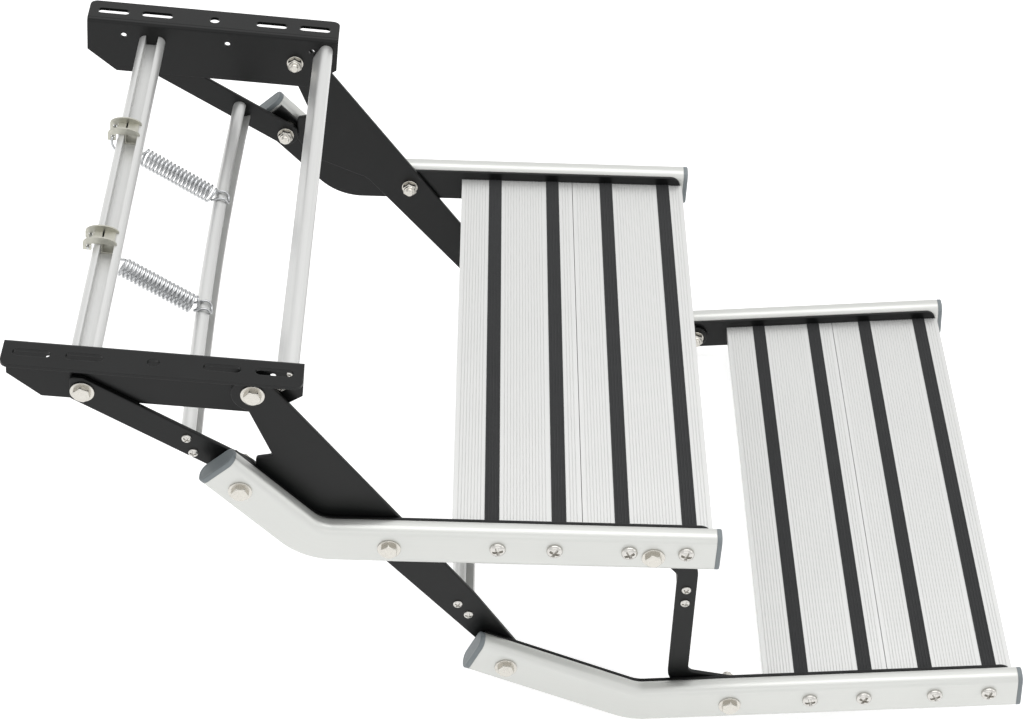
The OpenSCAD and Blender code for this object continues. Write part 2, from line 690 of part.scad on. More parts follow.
// A wire swept along points: a six-sided ring stands across the path at each point
module wire(path, d, sides = 6) {
    n = len(path);
    ref = in_space(coil_up, 0.25);
    function tangent(i) = unit(path[min(i + 1, n - 1)] - path[max(i - 1, 0)]);
    rings = [for (i = [0:n - 1]) let (t = tangent(i),
        side = unit(cross(t, ref)), up = cross(side, t))
        for (k = [0:sides - 1]) path[i] + d / 2 * (cos(k * 360 / sides) * side
            + sin(k * 360 / sides) * up)];
    faces = concat(
        [[for (k = [0:sides - 1]) k]],
        [for (i = [0:n - 2]) for (k = [0:sides - 1]) let (a = i * sides + k,
            b = i * sides + (k + 1) % sides) [a, a + sides, b + sides]],
        [for (i = [0:n - 2]) for (k = [0:sides - 1]) let (a = i * sides + k,
            b = i * sides + (k + 1) % sides) [a, b + sides, b]],
        [[for (k = [sides - 1:-1:0]) (n - 1) * sides + k]]);
    polyhedron(points = rings, faces = faces, convexity = 10);
}
module spring() {
    translate([0, spring_y, 0]) wire(spring_path, spring_wire);
}

// Fasteners of each body
module base_bolts() {
    for (left = [true, false]) sided(left) {
        hex_bolt(p1, link_out + washer_gap + washer_t, base_in - washer_t - nut_h - tip_len);
        hex_bolt(p2, arm_out + washer_gap + washer_t, base_in - washer_t - nut_h - tip_len);
    }
}
module base_washers() {
    for (left = [true, false]) sided(left) {
        washer(p1, link_out + washer_gap);
        washer(p2, arm_out + washer_gap);
        for (p = [p1, p2]) washer(p, base_in - washer_t);
    }
}
module pivot_bolts(bolts) {
    for (left = [true, false]) sided(left) for (b = bolts)
        hex_bolt(b[0], rail_out + washer_t, b[1]);
}
module pivot_washers(outer, inner) {
    for (left = [true, false]) sided(left) {
        for (p = outer) washer(p, rail_out);
        for (b = inner) washer(b[0], b[1] - washer_gap - washer_t, b[2]);
    }
}
module pivot_nuts(inner) {
    for (left = [true, false]) sided(left) for (b = inner)
        hex_nut(b[0], b[1] - washer_gap - washer_t);
}
function nut_tip(y) = y - washer_gap - washer_t - nut_h - tip_len;

color(steel_black) base_bracket();  // base_bracket_left
color(steel_black) sided(false) base_bracket();  // base_bracket_right
color(alloy) cross_tube(rear_tube_c, 0, base_in);  // rear_base_tube
color(alloy) cross_tube(front_tube_c, front_tube_turn + 180, base_in);  // front_base_tube
color(zinc) {  // base_tube_screws
    tube_screws(rear_tube_c, 0, base_out);
    tube_screws(front_tube_c, front_tube_turn, base_out);
}
color(zinc) spring_clip();  // spring_clip_left
color(zinc) sided(false) spring_clip();  // spring_clip_right
color(zinc) base_bolts();  // base_pivot_bolts
color(zinc)  // base_pivot_nuts
    for (left = [true, false]) sided(left) for (p = [p1, p2]) hex_nut(p, base_in - washer_t);
color(zinc) base_washers();  // base_pivot_washers
color(zinc)  // arm_spacers
    for (left = [true, false]) sided(left) difference() {
        cross(p2, washer_d, base_out, arm_in - washer_gap);
        cross(p2, bolt_hole_d, base_out - 1, arm_in + 1);
    }
color(zinc) spring();  // spring_left
color(zinc) sided(false) spring();  // spring_right
color(steel_black) rear_link();  // rear_link_left
color(steel_black) sided(false) rear_link();  // rear_link_right
color(alloy) cross_tube(link_tube_c, link_tube_turn, link_in);  // rear_link_tube
color(zinc) tube_screws(link_tube_c, link_tube_turn, link_out);  // rear_link_screws
color(zinc)  // rear_link_nuts
    for (left = [true, false]) sided(left) {
        bolt_end(p3, link_out, link_in);
        cross(p3, washer_d, link_out, stop_split);
    }
color(steel_black) main_arm();  // main_arm_left
color(steel_black) sided(false) main_arm();  // main_arm_right
color(alloy) cross_tube(arm_tube_c, arm_angle, arm_in);  // arm_tube
color(zinc) tube_screws(arm_tube_c, arm_angle, arm_out);  // arm_tube_screws
color(alloy)  // upper_rail_left
    side_rail(upper_vertex, upper_pitch, upper_bend, upper_end, upper_rear_end, [p3, p4, p5],
              upper_screws);
color(alloy) sided(false)  // upper_rail_right
    side_rail(upper_vertex, upper_pitch, upper_bend, upper_end, upper_rear_end, [p3, p4, p5],
              upper_screws);
color(steel_black)  // upper_inner_plate_left
    inner_plate(upper_vertex, upper_pitch, upper_bend, upper_end, upper_rear_end, [p3, p4, p5],
                upper_screws);
color(steel_black) sided(false)  // upper_inner_plate_right
    inner_plate(upper_vertex, upper_pitch, upper_bend, upper_end, upper_rear_end, [p3, p4, p5],
                upper_screws);
color(alloy) plank(upper_vertex, upper_pitch, upper_start);  // upper_plank_rear
color(alloy) plank(upper_vertex, upper_pitch, upper_start + plank_w);  // upper_plank_front
color(grip_black) grip_inserts(upper_vertex, upper_pitch, upper_start);  // upper_grip_inserts
color(cap_grey) rear_caps(upper_vertex, upper_pitch, upper_bend, upper_rear_end);  // upper_rear_caps
color(cap_grey) front_caps(upper_vertex, upper_pitch, upper_end);  // upper_front_caps
color(zinc) plank_screws(upper_vertex, upper_pitch, upper_start);  // upper_plank_screws
color(zinc)  // upper_pivot_bolts
    pivot_bolts([[p3, stop_split + washer_gap], [p4, nut_tip(arm_in)], [p5, nut_tip(front_in)]]);
color(zinc) pivot_nuts([[p4, arm_in], [p5, front_in]]);  // upper_pivot_nuts
color(zinc)  // upper_pivot_washers
    pivot_washers([p3, p4, p5], [[p4, arm_in, washer_d], [p5, front_in, head_af]]);
color(zinc)  // stop_spacers
    for (left = [true, false]) sided(left) difference() {
        cross(p3, washer_d, stop_split + washer_gap, inner_in);
        cross(p3, bolt_hole_d, stop_split - 1, inner_in + 1);
    }
color(steel_black) front_link();  // front_link_left
color(steel_black) sided(false) front_link();  // front_link_right
color(alloy) cross_tube(front_tube_at, front_leg_angle + 180, front_in);  // front_link_tube
color(zinc) tube_screws(front_tube_at, front_leg_angle, front_out);  // front_link_screws
color(zinc)  // front_link_nuts
    for (left = [true, false]) sided(left) bolt_end(p7, front_out, front_in);
color(alloy)  // lower_rail_left
    side_rail(lower_vertex, lower_pitch, lower_bend, lower_end, lower_rear_end, [p6, p7],
              lower_screws);
color(alloy) sided(false)  // lower_rail_right
    side_rail(lower_vertex, lower_pitch, lower_bend, lower_end, lower_rear_end, [p6, p7],
              lower_screws);
color(steel_black)  // lower_inner_plate_left
    inner_plate(lower_vertex, lower_pitch, lower_bend, lower_end, lower_rear_end, [p6, p7],
                lower_screws);
color(steel_black) sided(false)  // lower_inner_plate_right
    inner_plate(lower_vertex, lower_pitch, lower_bend, lower_end, lower_rear_end, [p6, p7],
                lower_screws);
color(alloy) plank(lower_vertex, lower_pitch, lower_start);  // lower_plank_rear
color(alloy) plank(lower_vertex, lower_pitch, lower_start + plank_w);  // lower_plank_front
color(grip_black) grip_inserts(lower_vertex, lower_pitch, lower_start);  // lower_grip_inserts
color(cap_grey) rear_caps(lower_vertex, lower_pitch, lower_bend, lower_rear_end);  // lower_rear_caps
color(cap_grey) front_caps(lower_vertex, lower_pitch, lower_end);  // lower_front_caps
color(zinc) plank_screws(lower_vertex, lower_pitch, lower_start);  // lower_plank_screws
color(zinc)  // lower_pivot_bolts
    pivot_bolts([[p6, nut_tip(arm_in)], [p7, front_out + washer_gap]]);
color(zinc) pivot_nuts([[p6, arm_in]]);  // lower_pivot_nuts
color(zinc) pivot_washers([p6, p7], [[p6, arm_in, washer_d]]);  // lower_pivot_washers
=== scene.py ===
"""Looks of a folding double entry step for a caravan, dressed over its CAD frame.

X points away from the caravan, Y runs along the treads, Z is up. Sizes in this script are in
millimetres, in the frame of the CAD, and become metres when a piece is made.
"""

import json
import math

import bmesh
import bpy
import numpy as np
from mathutils import Matrix, Vector


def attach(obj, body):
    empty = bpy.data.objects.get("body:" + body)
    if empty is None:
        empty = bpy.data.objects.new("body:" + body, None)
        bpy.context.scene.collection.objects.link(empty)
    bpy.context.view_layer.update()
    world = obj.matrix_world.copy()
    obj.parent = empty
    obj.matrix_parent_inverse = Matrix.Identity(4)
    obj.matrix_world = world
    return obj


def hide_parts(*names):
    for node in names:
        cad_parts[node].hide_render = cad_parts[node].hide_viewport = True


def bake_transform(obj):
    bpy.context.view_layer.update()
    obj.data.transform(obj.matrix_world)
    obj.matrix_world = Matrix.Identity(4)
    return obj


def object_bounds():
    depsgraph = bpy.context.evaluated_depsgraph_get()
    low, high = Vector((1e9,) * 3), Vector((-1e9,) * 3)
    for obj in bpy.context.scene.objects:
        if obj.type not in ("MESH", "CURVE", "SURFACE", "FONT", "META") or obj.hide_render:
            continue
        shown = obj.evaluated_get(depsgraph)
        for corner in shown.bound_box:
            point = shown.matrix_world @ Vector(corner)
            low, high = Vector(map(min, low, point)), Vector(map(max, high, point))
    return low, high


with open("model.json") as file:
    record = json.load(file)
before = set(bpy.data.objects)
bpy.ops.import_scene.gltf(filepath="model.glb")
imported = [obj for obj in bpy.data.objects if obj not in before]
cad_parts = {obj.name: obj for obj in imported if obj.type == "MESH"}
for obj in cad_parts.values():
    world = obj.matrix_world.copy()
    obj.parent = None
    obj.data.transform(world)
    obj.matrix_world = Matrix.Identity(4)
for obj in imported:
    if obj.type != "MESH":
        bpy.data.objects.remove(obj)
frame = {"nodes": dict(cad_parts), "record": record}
cad_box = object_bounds()
MM = 0.001


# Camera, as solved from the photo: its place is in metres
def look_from(place, forward, right, up, focal_px):
    """Camera at a place with given axes; focal length in pixels of the photo's frame."""
    sensor, frame_width = 36.0, 1024.0
    data = bpy.data.cameras.new("camera")
    data.sensor_width = sensor
    data.lens = sensor * focal_px / frame_width
    data.clip_start = 0.05
    camera = bpy.data.objects.new("camera", data)
    bpy.context.scene.collection.objects.link(camera)
    axes = Matrix((right, up, [-c for c in forward])).transposed().to_4x4()
    axes.translation = Vector(place)
    camera.matrix_world = axes
    bpy.context.scene.camera = camera


view_dir = Vector((0.06807, 0.75875, -0.64782)).normalized()
view_right = Vector((0.99441, 0.00096, 0.10561))
view_right = (view_right - view_dir * view_right.dot(view_dir)).normalized()
view_up = view_right.cross(view_dir)
look_from((0.15803, -1.67724, 1.24868), view_dir, view_right, view_up, 2342.0)
bpy.context.scene.view_settings.view_transform = "Standard"


# Materials
def linear(code):
    """sRGB hex to a linear RGBA colour: c/12.92 below 0.04045, else ((c+0.055)/1.055)^2.4."""
    parts = [int(code[i:i + 2], 16) / 255 for i in (1, 3, 5)]
    return tuple(c / 12.92 if c <= 0.04045 else ((c + 0.055) / 1.055) ** 2.4
                 for c in parts) + (1.0,)


def add(tree, kind, inputs=None, **settings):
    """Adds one node, sets its properties, and fills or links its inputs."""
    node = tree.nodes.new(kind)
    for key, value in settings.items():
        setattr(node, key, value)
    for key, value in (inputs or {}).items():
        if isinstance(value, bpy.types.NodeSocket):
            tree.links.new(value, node.inputs[key])
        else:
            node.inputs[key].default_value = value
    return node


def blank(name):
    """A new node material, with its tree and its surface shader."""
    material = bpy.data.materials.new(name)
    material.use_nodes = True
    tree = material.node_tree
    return material, tree, tree.nodes["Principled BSDF"]


def stretched(tree, scale=(1, 1, 1), uv=False):
    """Object coordinates in metres, or the piece's own UV in metres, times a scale per axis."""
    place = add(tree, "ShaderNodeTexCoord")
    return add(tree, "ShaderNodeMapping", {"Vector": place.outputs["UV" if uv else "Object"],
                                           "Scale": scale}).outputs["Vector"]


def speckle(tree, where, size_mm, detail=2.0, rough=0.5):
    """Noise whose blobs are about size_mm across, for coordinates in metres."""
    return add(tree, "ShaderNodeTexNoise", {"Vector": where, "Scale": 1000.0 / size_mm,
                                            "Detail": detail, "Roughness": rough}).outputs["Fac"]


def between(tree, factor, low, high, lo_in=0.3, hi_in=0.7):
    """Maps noise from lo_in..hi_in to low..high."""
    return add(tree, "ShaderNodeMapRange", {"Value": factor, "From Min": lo_in, "From Max": hi_in,
                                            "To Min": low, "To Max": high}).outputs["Result"]


def two_tone(tree, factor, first, second):
    """Blends two hex colours by a factor."""
    mix = add(tree, "ShaderNodeMix", {"Factor": factor}, data_type="RGBA")
    mix.inputs[6].default_value = linear(first)
    mix.inputs[7].default_value = linear(second)
    return mix.outputs[2]


def bumped(tree, shader, height, depth_mm, edge_mm=0.0):
    """Bump of a real depth; with edge_mm the sharp edges also catch light as if rounded."""
    inputs = {"Height": height, "Distance": depth_mm * MM, "Strength": 1.0}
    if edge_mm:
        inputs["Normal"] = add(tree, "ShaderNodeBevel", {"Radius": edge_mm * MM},
                               samples=6).outputs["Normal"]
    bump = add(tree, "ShaderNodeBump", inputs)
    tree.links.new(bump.outputs["Normal"], shader.inputs["Normal"])


def powder_coated_steel():
    """Epoxy-polyester powder coat on steel: near black, semi-gloss, with a fine orange peel
    about 1.5 mm across and softer edges."""
    material, tree, shader = blank("black_powder_coated_steel")
    where = stretched(tree)
    cloud = speckle(tree, where, 45, 3)
    peel = speckle(tree, where, 1.5, 1)
    tree.links.new(two_tone(tree, cloud, "#0e0f0f", "#141515"), shader.inputs["Base Color"])
    tree.links.new(between(tree, cloud, 0.30, 0.38), shader.inputs["Roughness"])
    shader.inputs["IOR"].default_value = 1.34
    bumped(tree, shader, peel, 0.03, edge_mm=0.7)
    return material


def anodised_aluminium(name, scale, uv, light, dark, rough):
    """Natural anodised 6063 extrusion: satin, with faint die lines along the extrusion that are
    about 0.6 mm wide and tens of millimetres long. The oxide layer scatters part of the light,
    so the shader is only partly metallic."""
    material, tree, shader = blank(name)
    shader.inputs["Metallic"].default_value = 0.6
    lines = speckle(tree, stretched(tree, scale, uv), 1.2, 3, 0.6)
    cloud = speckle(tree, stretched(tree), 60, 2)
    tree.links.new(two_tone(tree, lines, dark, light), shader.inputs["Base Color"])
    tree.links.new(add(tree, "ShaderNodeMath", {
        0: between(tree, lines, rough + 0.05, rough - 0.04),
        1: between(tree, cloud, -0.02, 0.03)}, operation="ADD").outputs[0],
        shader.inputs["Roughness"])
    bumped(tree, shader, lines, 0.012, edge_mm=0.4)
    return material


def zinc_plated(name, light, dark, rough, edge=0.3):
    """Zinc-plated steel: warm grey with a faint patchy passivation some 3 mm across."""
    material, tree, shader = blank(name)
    shader.inputs["Metallic"].default_value = 1.0
    where = stretched(tree)
    patch = speckle(tree, where, 3, 3)
    grain = speckle(tree, where, 0.5, 2)
    tree.links.new(two_tone(tree, patch, dark, light), shader.inputs["Base Color"])
    tree.links.new(between(tree, patch, rough + 0.06, rough - 0.05), shader.inputs["Roughness"])
    bumped(tree, shader, grain, 0.002, edge_mm=edge)
    return material


def moulded_polypropylene():
    """Injection-moulded polypropylene: slate grey, low sheen, spark-eroded grain about 0.6 mm."""
    material, tree, shader = blank("slate_moulded_polypropylene")
    where = stretched(tree)
    grain = speckle(tree, where, 0.6, 2)
    cloud = speckle(tree, where, 12, 2)
    tree.links.new(two_tone(tree, cloud, "#80888b", "#8e9598"), shader.inputs["Base Color"])
    tree.links.new(between(tree, grain, 0.42, 0.56), shader.inputs["Roughness"])
    bumped(tree, shader, grain, 0.03)
    return material


def extruded_rubber():
    """EPDM rubber insert: matt black, dusty grain some 0.8 mm across."""
    material, tree, shader = blank("black_epdm_rubber")
    where = stretched(tree)
    grain = speckle(tree, where, 0.8, 2)
    cloud = speckle(tree, where, 25, 2)
    tree.links.new(two_tone(tree, cloud, "#1d1e1f", "#292a2b"), shader.inputs["Base Color"])
    tree.links.new(between(tree, grain, 0.62, 0.8), shader.inputs["Roughness"])
    bumped(tree, shader, grain, 0.04)
    return material


black = powder_coated_steel()
# Die lines run along Y on planks and cross tubes: the pattern is drawn out 60 times that way
tread_metal = anodised_aluminium("anodised_tread_extrusion", (1, 0.016, 1), False,
                                 "#e8e8e6", "#dadbda", 0.42)
tube_metal = anodised_aluminium("anodised_tube_extrusion", (1, 0.016, 1), False,
                                "#e2e2e0", "#d4d5d4", 0.38)
# Rails carry a UV in metres: U along the rail, V round its section
rail_metal = anodised_aluminium("anodised_rail_extrusion", (0.012, 1, 1), True,
                                "#dbdcd8", "#d4d5d2", 0.44)
bolt_metal = zinc_plated("zinc_plated_bolt_steel", "#cfccc5", "#c3c0b9", 0.25)
screw_metal = zinc_plated("zinc_plated_screw_steel", "#cfcdc9", "#c2c0bb", 0.22)
clip_metal = zinc_plated("dull_zinc_plated_sheet", "#c6c5bb", "#b4b3a9", 0.45)
wire_metal = zinc_plated("bright_zinc_plated_wire", "#c4c5c6", "#aeb0b2", 0.22, 0.0)
cap_plastic = moulded_polypropylene()
rubber = extruded_rubber()

# Every node of the frame gets its finish, also where a dressed piece takes its place below
FINISH = {"black_steel": black, "zinc": bolt_metal, "clip_steel": clip_metal,
          "spring_steel": wire_metal, "cap_plastic": cap_plastic, "grip_insert": rubber,
          "alloy": tread_metal}
for entry in frame["record"]["subparts"]:
    node = frame["nodes"][entry["node"]]
    node.data.materials.clear()
    chosen = FINISH[entry["material_slot"]]
    if entry["node"].endswith("tube"):
        chosen = tube_metal
    if "screws" in entry["node"]:
        chosen = screw_metal
    node.data.materials.append(chosen)


# Places from the CAD
def turn(vector, degrees):
    """Turns an (x, z) pair by an angle, from X towards Z."""
    a = math.radians(degrees)
    return np.array([vector[0] * math.cos(a) - vector[1] * math.sin(a),
                     vector[0] * math.sin(a) + vector[1] * math.cos(a)])


def lean(line):
    """Angle of an (x, z) line from X, in degrees."""
    return math.degrees(math.atan2(line[1], line[0]))


# Inner and outer faces of the brackets, rear links and main arms, measured from the middle, and
# the clearance between moving faces
BASE_IN, BASE_OUT, LINK_IN, LINK_OUT = 237.5, 240.5, 241.0, 245.0
ARM_IN, ARM_OUT = 245.5, 249.5
CLEAR = 0.1
# The rails as the photo shows them: slimmer and taller than the frame's, with a tighter bend
RAIL_W, RAIL_H, RAIL_CORNER = 18.4, 40.2, 8.0
RAIL_MID, RAIL_LIFT, RAIL_BEND, CAD_BEND = 262.1, 0.4, 42.0, 60.0
RAIL_OUT = RAIL_MID + RAIL_W / 2
CAP_THICK = 4.3
# Pivots, (x, z): P1 and P2 on the base, P3 to P5 on the upper step, P6 and P7 on the lower one.
# A step has the vertex of its bend, its pitch and bend in degrees, and the distances from the
# vertex to its planks, to the rail's rear end and to its front end, 1.5 mm past the planks.
PLANK = 112.2
UPPER_PITCH, LOWER_PITCH = 4.0, 9.5
P1, P2 = np.array([-58.5, -45.0]), np.array([80.1, -30.2])
P4, P7 = np.array([202.6, -173.0]), np.array([523.5, -340.2])
UPPER = {"vertex": P4 + turn([-66.3, 0], UPPER_PITCH), "pitch": UPPER_PITCH, "bend": 47.0,
         "start": 119.0, "rear": 110.5}
LOWER = {"vertex": P7 + turn([-86.9, 0], LOWER_PITCH), "pitch": LOWER_PITCH, "bend": 28.7,
         "start": 119.8, "rear": 157.5}
P3 = UPPER["vertex"] + turn([-85.5, 1], UPPER_PITCH - UPPER["bend"])
P5 = P4 + turn([52.7 + 1.538 * PLANK, -2.5], UPPER_PITCH)
P6 = LOWER["vertex"] + turn([-128.5, 1], LOWER_PITCH - LOWER["bend"])
for step in (UPPER, LOWER):
    step["front"] = step["start"] + 2 * PLANK + 1.5
STEPS = ((UPPER, "upper_step", "upper"), (LOWER, "lower_step", "lower"))
HANDS = ((1, "left"), (-1, "right"))

ARM_LINE, LINK_LINE = P6 - P2, P3 - P1
ARM_TURN, LINK_TURN = lean(ARM_LINE), lean(LINK_LINE)
# The front link's straight leg, from its upper crank to its lower one
ELBOW, KNEE = P5 + [37, -37], P7 + [-48, 9]
LEG = (KNEE - ELBOW) / np.hypot(*(KNEE - ELBOW))
# Middles of the cross tubes, and half of their width and of their thickness
REAR_TUBE, FRONT_BASE_TUBE = np.array([-58.2, -20.6]), np.array([106.5, -18.8])
LINK_TUBE = P1 + turn([np.hypot(*LINK_LINE) * 0.67, -1.5], LINK_TURN)
ARM_TUBE = P2 + turn([np.hypot(*ARM_LINE) * 0.825, -2.0], ARM_TURN)
FRONT_TUBE = ELBOW + LEG * 30
FRONT_BASE_TURN, LINK_TUBE_TURN = 62, -69
TUBE_HALF, TUBE_R = 12.5, 6.5


# Mesh making
def make(name, shells, material, body, stands_for, sharp=32.0):
    """One object from closed shells, each (points, faces[, uv per point]); doubles are merged,
    faces turned outwards, and edges sharper than an angle stay sharp."""
    points, faces, uvs, start = [], [], [], 0
    for shell in shells:
        points.append(np.asarray(shell[0], float))
        faces += [tuple(int(i) + start for i in f) for f in shell[1]]
        uvs.append(shell[2] if len(shell) > 2 else np.zeros((len(shell[0]), 2)))
        start += len(shell[0])
    points = np.concatenate(points) * MM
    mesh = bpy.data.meshes.new(name)
    mesh.from_pydata(points, [], faces)
    corner = np.empty(len(mesh.loops), int)
    mesh.loops.foreach_get("vertex_index", corner)
    layer = mesh.uv_layers.new(name="along")
    layer.data.foreach_set("uv", np.concatenate(uvs)[corner].astype(np.float32).ravel())
    work = bmesh.new()
    work.from_mesh(mesh)
    bmesh.ops.remove_doubles(work, verts=work.verts, dist=2e-6)
    bmesh.ops.recalc_face_normals(work, faces=work.faces)
    work.to_mesh(mesh)
    work.free()
    mesh.polygons.foreach_set("use_smooth", np.ones(len(mesh.polygons), bool))
    mesh.set_sharp_from_angle(angle=math.radians(sharp))
    mesh.materials.append(material)
    piece = bpy.data.objects.new(name, mesh)
    bpy.context.scene.collection.objects.link(piece)
    if body:
        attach(piece, body)
    if stands_for:
        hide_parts(*stands_for)
    return piece


def rings(stack, loop=False):
    """Shell from rings of points, an array (rings, points, 3): quads between neighbours, and one
    polygon at each end; with loop, the last ring joins the first instead."""
    stack = np.asarray(stack, float)
    m, n = stack.shape[:2]
    i, k = np.meshgrid(np.arange(m if loop else m - 1), np.arange(n), indexing="ij")
    a, b = i * n + k, i * n + (k + 1) % n
    c, d = (i + 1) % m * n + (k + 1) % n, (i + 1) % m * n + k
    faces = np.stack([a, b, c, d], axis=-1).reshape(-1, 4).tolist()
    if not loop:
        faces += [list(range(n)), list(range((m - 1) * n, m * n))]
    return stack.reshape(-1, 3), faces


def carried(x, z, y):
    """Shell of an outline (x, z) that stands at each of the given y; the outline may be one, or
    one for each y."""
    x, y, z = np.broadcast_arrays(x, np.asarray(y)[:, None], z)
    return rings(np.stack([x, y, z], axis=-1))


def across(points, at, side):
    """Local (across x, across z, outward y) to the frame: x and z about a pivot, y by side."""
    points = np.asarray(points, float)
    return np.stack([at[0] + points[..., 0], side * points[..., 2], at[1] + points[..., 1]],
                    axis=-1)


def turned(profile, at, side, n=48, loop=False):
    """Lathe shell along Y: a profile of (radius, y) pairs spun round a pivot."""
    a = np.linspace(0, 2 * np.pi, n, endpoint=False)
    r, y = np.array(profile, float).T
    stack = np.stack([np.outer(r, np.cos(a)), np.outer(r, np.sin(a)),
                      np.outer(y, np.ones(n))], axis=-1)
    return rings(across(stack, at, side), loop)


def both(build):
    """The shells that a builder gives for the far side (+1) and the near side (-1)."""
    return [shell for side in (1, -1) for shell in build(side)]


def frame_mesh(node):
    """Points in millimetres and triangles of a node of the frame."""
    mesh = frame["nodes"][node].data
    points = np.empty(len(mesh.vertices) * 3)
    mesh.vertices.foreach_get("co", points)
    mesh.calc_loop_triangles()
    triangles = np.empty(len(mesh.loop_triangles) * 3, np.int32)
    mesh.loop_triangles.foreach_get("vertices", triangles)
    return points.reshape(-1, 3) / MM, triangles.reshape(-1, 3)


# Fasteners: radii of a pivot bolt's thread and of its shank in the holes, height of its head,
# how far its tip reaches past the inner face, and the washers' thickness and width under a nut
BOLT_R, SHANK_R, HEAD_TALL, TIP = 4.0, 5.0, 4.2, 12.0
WASHER_T, NUT_WASHER = 1.5, 16.0


def ring_washer(at, side, y0, d=20.0, hole=10.1):
    """Flat washer with softly rounded rims: a closed profile loop spun round the pivot."""
    r0, r1, c, y1 = hole / 2, d / 2, 0.25, y0 + WASHER_T
    profile = [(r0 + c, y0), (r1 - c, y0), (r1, y0 + c), (r1, y1 - c), (r1 - c, y1),
               (r0 + c, y1), (r0, y1 - c), (r0, y0 + c)]
    return turned(profile, at, side, loop=True)


def hexagon(at, side, y_seat, y_top, phase=0.0, nut=False, af=13.0):
    """Hexagon head or nut: at each height the radius is the lesser of the hexagon's
    (af/2)/cos(angle from the flat) and a 30 degree chamfer cone. A nut has the chamfer at both
    ends, a head has it on top, with a shallow dish."""
    n = 72
    a = np.linspace(0, 2 * np.pi, n, endpoint=False)
    off = (a - phase + np.pi / 6) % (np.pi / 3) - np.pi / 6
    hexa = af / 2 / np.cos(off)
    land, slope = af / 2 * 0.94, math.tan(math.radians(30))
    drop = (af / 2 / math.cos(math.pi / 6) - land) * slope
    way = 1 if y_top > y_seat else -1
    tall = abs(y_top - y_seat)
    levels = [(0.0, hexa)]
    if nut:
        levels = [(drop * t, np.minimum(hexa, land + drop * t / slope))
                  for t in np.linspace(0, 1, 6)]
    levels += [(tall - drop * (1 - t), np.minimum(hexa, land + drop * (1 - t) / slope))
               for t in np.linspace(0, 1, 7)]
    if not nut:
        levels += [(tall, af * 0.40), (tall - 0.25, af * 0.34), (tall - 0.32, af * 0.1)]
    stack = [np.stack([r * np.cos(a), r * np.sin(a), np.full(n, y_seat + way * h)], axis=-1)
             for h, r in levels]
    return rings(across(stack, at, side))


def threaded_tip(y_tip, rolls):
    """Profile of a bolt's chamfered tip with a few thread rolls above it."""
    return ([(0.0, y_tip), (BOLT_R - 0.9, y_tip), (BOLT_R - 0.2, y_tip + 0.7)]
            + [(BOLT_R - (0.4 if i % 2 else 0.0), y_tip + 0.9 + 0.55 * i) for i in range(rolls)])


def bolt(at, side, y_head, y_tip, phase=0.0):
    """Hexagon bolt: a head, and a shank with a threaded tip."""
    shank = threaded_tip(y_tip, 20)
    shank += [(SHANK_R, y_tip + 12.4), (SHANK_R, y_head + 0.5), (0.0, y_head + 0.5)]
    return [hexagon(at, side, y_head, y_head + HEAD_TALL, phase), turned(shank, at, side)]


def lock_nut(at, side, y_out, phase=0.0):
    """Nylon-insert lock nut, seen from inside the step: chamfered hexagon and a rounded collar."""
    flat_end = y_out - 5.4
    collar = [(3.6, flat_end + 0.3), (5.9, flat_end + 0.3), (5.9, flat_end - 0.9),
              (5.5, flat_end - 1.6), (4.8, flat_end - 1.9), (3.6, flat_end - 1.9)]
    return [hexagon(at, side, y_out, flat_end, phase, nut=True), turned(collar, at, side)]


def bolt_end(at, side, y_out, y_in, phase):
    """Bolt end, washer and lock nut on the inside of a link."""
    tip, seat = y_in - TIP, y_in - WASHER_T
    stud = threaded_tip(tip, 18)
    stud += [(SHANK_R, tip + 11.2), (SHANK_R, y_out - 0.2), (SHANK_R - 0.2, y_out), (0.0, y_out)]
    return [turned(stud, at, side), ring_washer(at, side, seat, NUT_WASHER),
            *lock_nut(at, side, seat, phase)]


def pan_head(at, side, y_seat, d, tall, shank_d, y_tip, phase=0.0):
    """Pan head with a cross recess: a dome of revolution, less a cross-shaped pit whose walls
    slope inwards."""
    n = 96
    a = np.linspace(0, 2 * np.pi, n, endpoint=False)
    big = d / 2
    rr = np.concatenate([[1.0, 1.0, 0.985, 0.95, 0.88], np.linspace(0.8, 0.0, 33)]) * big
    hh = np.empty(len(rr))
    hh[:2] = 0.0, tall * 0.28
    dome = np.clip(rr[2:] / big, 0, 1)
    hh[2:] = tall * (0.28 + 0.72 * np.power(1 - dome ** 2.6, 0.55))
    x, z = np.outer(rr, np.cos(a - phase)), np.outer(rr, np.sin(a - phase))
    wide, reach, deep = 0.075 * d, 0.28 * d, 0.6 * tall
    arm = np.minimum(np.maximum(np.abs(x) / reach, np.abs(z) / wide),
                     np.maximum(np.abs(z) / reach, np.abs(x) / wide))
    pit = deep * np.clip((1.2 - arm) / 0.3, 0, 1)
    high = np.repeat(hh[:, None], n, axis=1) - np.where(rr[:, None] < 0.68 * big, pit, 0)
    stack = np.stack([np.outer(rr, np.cos(a)), np.outer(rr, np.sin(a)), y_seat + high], axis=-1)
    shank = [(0.0, y_tip), (shank_d * 0.3, y_tip), (shank_d / 2, y_tip + 2.0),
             (shank_d / 2, y_seat + 0.3), (0.0, y_seat + 0.3)]
    return [rings(across(stack, at, side)), turned(shank, at, side, 24)]


# Side rails and their caps
def section(shrink=0.0, n=14):
    """Rail section as (y, up) pairs: a rectangle whose corners are quarter circles, set in by
    shrink; flat flanks, a round crown and a narrow flat on top."""
    r = max(RAIL_CORNER - shrink, 0.5)
    w, h = RAIL_W / 2 - shrink - r, RAIL_H / 2 - shrink - r
    a = np.linspace(0, np.pi / 2, n)
    corner = r * np.stack([np.cos(a), np.sin(a)], axis=-1)
    swap = corner[::-1]
    return np.concatenate([corner + [w, h], swap * [-1, 1] + [-w, h], -corner - [w, h],
                           swap * [1, -1] + [w, -h]]) + [0, RAIL_LIFT]


